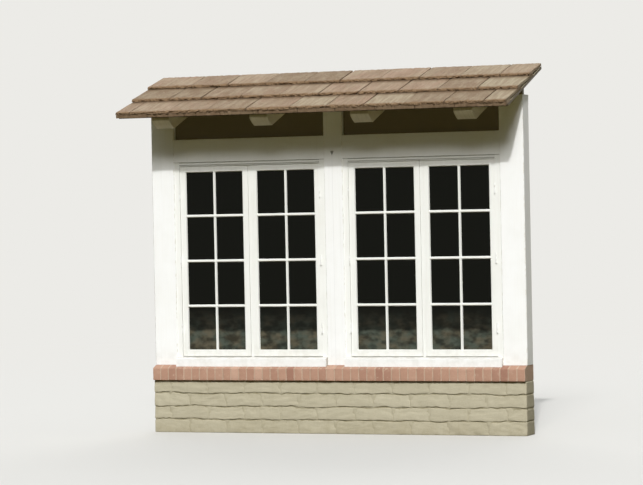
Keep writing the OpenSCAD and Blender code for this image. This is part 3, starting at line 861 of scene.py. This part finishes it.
@finish(depth=0.004, strong=0.7)
def split_tile(w, given):
    """Split concrete: clouds and streaks of the lighter and darker tones along the grain,
    lichen in specks and spots, dirt in the joints, and painted shade under the laps and lower edges."""
    tone, = w.place(piece_tint, Dark=given.dark, Middle=given.middle, Light=given.light)
    at = w.add("CombineXYZ", X=w.mark("across"), Y=w.mark("up"), Z=w.mark("tint")).outputs[0]
    cloud = w.noise(at, (11.0, 5.0, 40.0), 3.0, 0.6)
    streak = w.noise(at, (75.0, 6.0, 40.0), 4.0, 0.65)
    broad = w.noise(at, (36.0, 3.0, 40.0))
    speck = w.noise(at, (120.0, 60.0, 40.0), 3.0, 0.7)
    tone = w.mix(w.span(cloud, 0.36, 0.66, 0.0, 0.55), tone, given.light)
    tone = w.mix(w.span(streak, 0.4, 0.66, 0.0, 0.5), tone, given.dark)
    tone = w.mix(w.span(broad, 0.46, 0.6, 0.0, 0.4), tone, given.dark)
    tone = w.mix(w.span(speck, 0.5, 0.7, 0.0, 0.4), tone, given.lichen)
    # dirt in the carved grain and near the lower end, and painted shade under the next course
    tone = w.mix(w.times(w.mark("dirt_and_shade"), 0.5), tone, given.edge)
    tone, rough, height = w.place(grit, Colour=tone, Pits=given.edge, Scale=120.0, Amount=0.6)
    spots = w.times(w.span(w.cells(w.here(), 19.0), 0.08, 0.24, 1.0, 0.0),
                    w.span(w.noise(w.here(), 5.0, 3.0, 0.6), 0.54, 0.7))
    tone = w.mix(w.times(spots, 0.35), tone, given.lichen)
    worn = w.span(w.noise(w.here(), 60.0, 3.0, 0.6), 0.25, 0.6, 0.7, 1.0)
    tone = w.mix(w.times(w.mark("butt"), worn), tone, given.edge)
    # dark joints, and painted shade under the laps and lower edges, broken up by the streaks
    dirt = w.span(streak, 0.38, 0.62, 0.95, 0.65)
    tone = w.mix(w.times(w.mark("deep"), dirt), tone, given.deep)
    return tone, rough, w.plus(height, w.times(streak, 1.5))


class BAY_OT_roof_tiles(Operator):
    """Starter tiles and courses of split-faced tiles with ragged lower edges"""
    bl_idname = "bay.roof_tiles"
    bl_label = "Roof tiles"

    def execute(self, context):
        given = context.scene.bay_roof
        rng = np.random.default_rng(TILE_SEED)
        starters = self.row(given, rng, STARTER_BACK - OVERHANG, STARTER_LENGTH,
                            LIFT - STARTER_BACK * TILT, STARTER_JOINTS, True)
        deck = (DECK_HIGH[1] - DECK_LOW[1]) / math.cos(ROOF_PITCH)
        courses = []
        for course, joints in enumerate(TILE_JOINTS):
            s = course * GAUGE - OVERHANG
            courses += self.row(given, rng, s, min(TILE_LENGTH, deck - s), LIFT + TILE_THICK, joints, False)
        made = split_tile(given)
        starter = new_piece("starter_tiles", *joined(starters), made, "roof_tile", sharp=45)
        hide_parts("tile_starter")
        tiles = new_piece("course_tiles", *joined(courses), made, "roof_tile", sharp=45)
        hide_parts("tile_course_1", "tile_course_2", "tile_course_3")
        return {"FINISHED"}

    def row(self, given, rng, s, run, top, joints, starter):
        """Tiles between the joints, given as pairs of a place and a share of the widest."""
        places, shares = zip((DECK_LOW[0], 0.0), *joints)
        return [self.one(given, rng, x0, x1, given.joint * share, s, run, top, starter)
                for x0, x1, share in zip(places, [*places[1:], DECK_HIGH[0]], shares)]

    def one(self, given, rng, x0, x1, gap, s, run, top, starter):
        """One tile: a slab on a grid of (across x, up the slope v, thickness n). Its top
        is carved by ridges along v, cloudy relief, a lip at one side and rounded edges;
        its lower edge is broken back by random notches. A starter tile is a plain wedge."""
        ragged, lapping, rubbed, under = (0.3, 0.4, 0.6, 0.0) if starter else (1.0, 1.0, 1.0, 0.42)
        wide = x1 - x0
        gap = max(gap, 0.001)
        across = np.concatenate(([0.0, gap * 0.5, gap + 0.0005, gap + 0.002],
                                 np.linspace(gap + 0.006, wide - 0.005, max(8, round(wide / 0.0052))),
                                 [wide - 0.0015, wide - 0.0002]))
        up = np.concatenate(([0.0, 0.003, 0.008, 0.016, 0.03],
                             np.linspace(0.05, run, max(3, round(run / 0.034)))))
        grid, faces = box_grid(across, up, np.array((0.0, 0.3, 0.62, 0.9, 1.0)))
        x, v, n = grid.T
        seed = np.stack((x + rng.uniform(0, 50), v * 0.12), -1)
        fine = np.stack((x + rng.uniform(0, 50), v * 0.05), -1)
        split = 0.45 * relief(seed, rng, 0.055)
        split = split + 0.35 * relief(fine, rng, 0.022) + 0.3 * relief(fine, rng, 0.012)
        clefts = np.zeros_like(x)
        for middle in rng.uniform(0.02, max(0.021, wide - 0.02), 3):
            clefts += np.exp(-((x - middle - 0.01 * v) / 0.0028) ** 2) * rng.uniform(0.2, 1.0)
        carve = given.ridges * np.clip(0.45 + 0.4 * split + 0.5 * clefts, 0.02, 1.6)
        lip = smooth(gap - x, -0.0012, 0.0012) * LIP
        side = 0.002 * (smooth(0.004 - (x - gap), 0, 0.004) * (x >= gap) + smooth(x, wide - 0.004, wide))
        nose = 0.004 * smooth(0.012 - v, 0, 0.012) ** 2
        edge = np.stack((x + rng.uniform(0, 50), n * 0.02), -1)
        notch = 0.42 + 0.3 * relief(edge, rng, 0.05) + 0.26 * relief(edge, rng, 0.016)
        notch = notch + 0.9 * smooth(relief(edge[:, :1], rng, 0.07), 1.1, 2.0)
        broken = given.ragged * np.clip(notch, 0.02, 1.8) * smooth(0.11 - v, 0.0, 0.11) ** 1.5 * ragged
        slip = rng.uniform(0, 0.003)
        settle = rng.uniform(0, 0.0012) + 0.001 * rng.uniform(0, 1) * x / wide
        level = top - TILT * v
        if starter:
            lower = np.zeros_like(v)
            upper = np.maximum(level - 0.3 * carve - side - 0.0004, 0.0008)
        else:
            lower = level - TILE_THICK
            upper = level - (carve + side) * smooth(v, -0.005, 0.01) - nose - settle
        upper = np.maximum(upper - lip * lapping, lower + 0.0006)
        height = lower + (upper - lower) * n
        along = s + v + (broken + slip * (1 - v / run)) * (1 - 0.15 * np.sin(np.pi * n))
        cos, sin = math.cos(ROOF_PITCH), math.sin(ROOF_PITCH)
        y = DECK_LOW[1] + along * cos - height * sin
        z = DECK_LOW[2] + BOARD_THICK / cos + along * sin + height * cos
        butt = smooth(0.016 + 0.006 * relief(edge, rng, 0.02) - v, -0.008, 0.008)
        # painted shade on the top of a whole tile, under the lower edge of the next course
        lapped = smooth(v, *LAP_SHADE) * (run == TILE_LENGTH)
        foot = v < BUTT
        dirt_and_shade = np.maximum(np.clip(carve / given.ridges - 0.55, 0, 1), lapped)
        # the underside of the broken lower edge is darkened: painted shade
        deep = np.maximum(lip / LIP, (n < 0.1) * foot * under)
        deep = np.maximum(deep, 0.52 * lapped ** 2)
        tint = np.clip(rng.normal(0.5, 0.3), 0, 1)
        # the front of a starter tile is darkened: painted shade under the tile over it
        return np.stack((x0 + x, y, z), -1), faces, {
            "tint": tint, "butt": np.maximum(butt, (n < 0.85) * foot) * rubbed,
            "dirt_and_shade": np.maximum(dirt_and_shade, 0.6 * smooth(0.055 - v, 0, 0.055)),
            "deep": np.maximum(deep, 0.2 * foot * starter), "across": x + rng.uniform(0, 5), "up": v}


# Timber, windows and fittings

HEAD_BOARD = 0.02    # height of the board over the windows, with a thin joint at each side, each drawn as a dark line of dirt and painted shadow
STAIN = (-0.007, POST_LOW[1], 2.148)
REFLECTION_ENDS = (0.135, 0.175)    # heights over the foot of the glass between which the painted reflection low on the panes ends
FAINT_REFLECTION_ENDS = (0.2, 0.34)      # the same for the fainter painted reflection over it


def dress(name, made):
    """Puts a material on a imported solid."""
    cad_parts[name].data.materials[0] = made


@finish(depth=0.001, strong=0.6)
def deck_paint(w, given):
    """Old paint under the roof boards, weathered away along their ends and along their front, where the
    darker colour is also painted shade under the tiles.
    """
    tone, rough, height = w.place(brushed_paint, Colour=given.cream, Under=given.grime,
                                  Grain=LEVEL, Thin=0.3)
    tone, _ = w.place(rain_marks, Colour=tone, Grime=given.grime, Amount=0.35)
    along, depth, _ = w.xyz(w.here())
    depth = w.minus(depth, w.times(w.noise(w.here(), 30.0, 3.0, 0.6), 0.01))
    # the front edge is weathered, and its dark colour is also painted shade under the tiles
    front = w.span(depth, DECK_LOW[1] + 0.003, DECK_LOW[1] + 0.012, 1.0, 0.0)
    end = w.span(w.sums("ABSOLUTE", along), DECK_HIGH[0] - 0.004, DECK_HIGH[0] - 0.001)
    return w.mix(w.sums("MAXIMUM", front, end), tone, given.raw), rough, height


class BAY_OT_timber(Operator):
    """Paint on the posts, headers, frames, boards, rafters and plate"""
    bl_idname = "bay.timber"
    bl_label = "Timber"

    def execute(self, context):
        t = context.scene.bay_timber
        foot = POST_LOW[2]
        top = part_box("left_window_head")[1][2]
        window = paint("window_upright", t.sash, t.under, UPRIGHT, foot=foot)
        finishes = {
            "left_window_jambs right_window_jambs left_window_mullion right_window_mullion": window,
            "left_window_head right_window_head": paint(
                "window_level", t.sash, t.under, LEVEL, foot=foot, seams=(top, top - HEAD_BOARD)),
            # frieze boards and eave blocks in a tan darkened as painted shade
            "left_frieze_panel right_frieze_panel eave_blocks": paint(
                "shade_darkened_tan_boards", t.tan, t.grime, LEVEL, thin=0.08, grime=0.08, gloss=0.1),
            "left_frieze_lining right_frieze_lining left_stool right_stool": paint(
                "indoor_paint", t.indoor, t.under, LEVEL, grime=0.12),
            "rafters": paint("eaves_paint", t.cream, t.grime, SLOPING, thin=0.25, grime=0.35),
            "roof_deck": deck_paint(t),
        }
        for name in ("left_post", "centre_post", "right_post"):
            finishes[name] = paint(name + "_paint", t.white, t.under, UPRIGHT, foot=foot, node=name,
                                   spot=STAIN if name == "centre_post" else None)
        for name in ("left_header", "right_header", "left_window_sill", "right_window_sill", "top_plate"):
            finishes[name] = paint(name + "_paint", t.white, t.under, LEVEL, foot=foot, node=name,
                                   seams=(top,) if name.endswith("header") else (),
                                   ledge=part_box(name)[0][1] if name.endswith("sill") else None)
        for names, made in finishes.items():
            for name in names.split():
                dress(name, made)
        return {"FINISHED"}


@finish(depth=0.004, strong=0.25, Metallic=0.0, Transmission_Weight=0.0, Specular_IOR_Level=0.06, IOR=1.45)
def dark_glass(w, given):
    """Dark glass, its darkness standing for the unlit room behind it, a little wavy, with a mottled painted
    reflection that fades out above its foot.
    """
    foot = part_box("left_outer_glass")[0][2]
    at = w.here()
    cloud = w.noise(at, (6.0, 6.0, 3.0), 3.0, 0.55)
    rise = w.plus(w.xyz(at)["Z"], w.times(w.minus(cloud, 0.5), 0.07))
    thick = w.span(rise, foot + REFLECTION_ENDS[0], foot + REFLECTION_ENDS[1], 1.0, 0.0)
    faint = w.span(rise, foot + FAINT_REFLECTION_ENDS[0], foot + FAINT_REFLECTION_ENDS[1], 0.22, 0.0)
    patches = w.span(w.noise(at, (13.0, 13.0, 20.0)), 0.3, 0.7, 0.3, 1.05)
    # painted reflection low on the panes, mottled in patches
    painted_reflection = w.times(w.sums("MAXIMUM", thick, faint), patches)
    hue = w.span(w.noise(at, (9.0, 9.0, 13.0)), 0.34, 0.66)
    tone = w.mix(painted_reflection, given.glass, w.mix(hue, given.painted_reflection, given.bloom))
    rough = w.span(w.noise(at, 40.0, 3.0, 0.6), 0.45, 0.8, 0.02, 0.1)
    return tone, rough, w.noise(at, (2.2, 2.2, 3.4), 1.0, 0.4)


class BAY_OT_casements(Operator):
    """Paint on the casements and bars, and dark glass with a little painted reflection low down"""
    bl_idname = "bay.casements"
    bl_label = "Casements and glass"

    def execute(self, context):
        t = context.scene.bay_timber
        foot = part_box("left_outer_sash")[0][2]
        # a dark line at the foot of the casements: dirt and a painted shadow line
        made = {"sash": paint("sash_paint", t.sash, t.under, SASH, thin=0.1, foot=foot,
                              seams=(foot + 0.001,), depth=0.0006),
                "bars": paint("bar_paint", t.sash, t.under, BARS, thin=0.1, grime=0.1, depth=0.0004),
                "glass": dark_glass(context.scene.bay_glazing)}
        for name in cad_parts:
            kind = name.split("_")[-1]
            if kind in made:
                dress(name, made[kind])
        return {"FINISHED"}


@finish(depth=0.0004, strong=0.3, Metallic=1.0)
def handled_brass(w, given):
    """Brass gone dull where it isn't handled."""
    rub = w.noise(w.here(), 55.0, 4.0, 0.65)
    tone = w.mix(w.span(rub, 0.4, 0.7), given.brass, given.tarnish)
    return tone, w.span(rub, 0.35, 0.7, 0.26, 0.5), w.noise(w.here(), (300.0, 60.0, 300.0))


class BAY_OT_fittings(Operator):
    """Painted hinges and brass latches"""
    bl_idname = "bay.fittings"
    bl_label = "Hinges and latches"

    def execute(self, context):
        t = context.scene.bay_timber
        dress("sash_hinges", paint("hinge_paint", t.white, t.grime, KNUCKLES, thin=0.35, grime=0.5))
        dress("sash_latches", handled_brass(context.scene.bay_glazing))
        return {"FINISHED"}


class BAY_PT_sidebar(Panel):
    """Lists the pieces of the bay and their sizes and colours"""
    bl_label = "Window bay"
    bl_idname = "BAY_PT_sidebar"
    bl_space_type = "VIEW_3D"
    bl_region_type = "UI"
    bl_category = "Bay"

    def draw(self, context):
        for operator, group in STEPS:
            box = self.layout.box()
            box.operator(operator.bl_idname)
            settings = getattr(context.scene, group)
            for name in settings.__annotations__:
                box.prop(settings, name)


STEPS = (
    (BAY_OT_stage, "bay_stage"),
    (BAY_OT_block_wall, "bay_masonry"),
    (BAY_OT_brick_sill, "bay_masonry"),
    (BAY_OT_roof_tiles, "bay_roof"),
    (BAY_OT_timber, "bay_timber"),
    (BAY_OT_casements, "bay_glazing"),
    (BAY_OT_fittings, "bay_glazing"),
)
SETTINGS = {"bay_stage": BayStage, "bay_masonry": BayMasonry, "bay_roof": BayRoof,
            "bay_timber": BayTimber, "bay_glazing": BayGlazing}


def register():
    for group in SETTINGS.values():
        bpy.utils.register_class(group)
    for name, group in SETTINGS.items():
        setattr(bpy.types.Scene, name, PointerProperty(type=group))
    for operator, _ in STEPS:
        bpy.utils.register_class(operator)
    bpy.utils.register_class(BAY_PT_sidebar)


def unregister():
    bpy.utils.unregister_class(BAY_PT_sidebar)
    for operator, _ in reversed(STEPS):
        bpy.utils.unregister_class(operator)
    for name, group in SETTINGS.items():
        delattr(bpy.types.Scene, name)
        bpy.utils.unregister_class(group)


def main():
    register()
    bpy.ops.bay.stage()
    bpy.ops.bay.block_wall()
    bpy.ops.bay.brick_sill()
    bpy.ops.bay.roof_tiles()
    bpy.ops.bay.timber()
    bpy.ops.bay.casements()
    bpy.ops.bay.fittings()


if __name__ == "__main__":
    main()
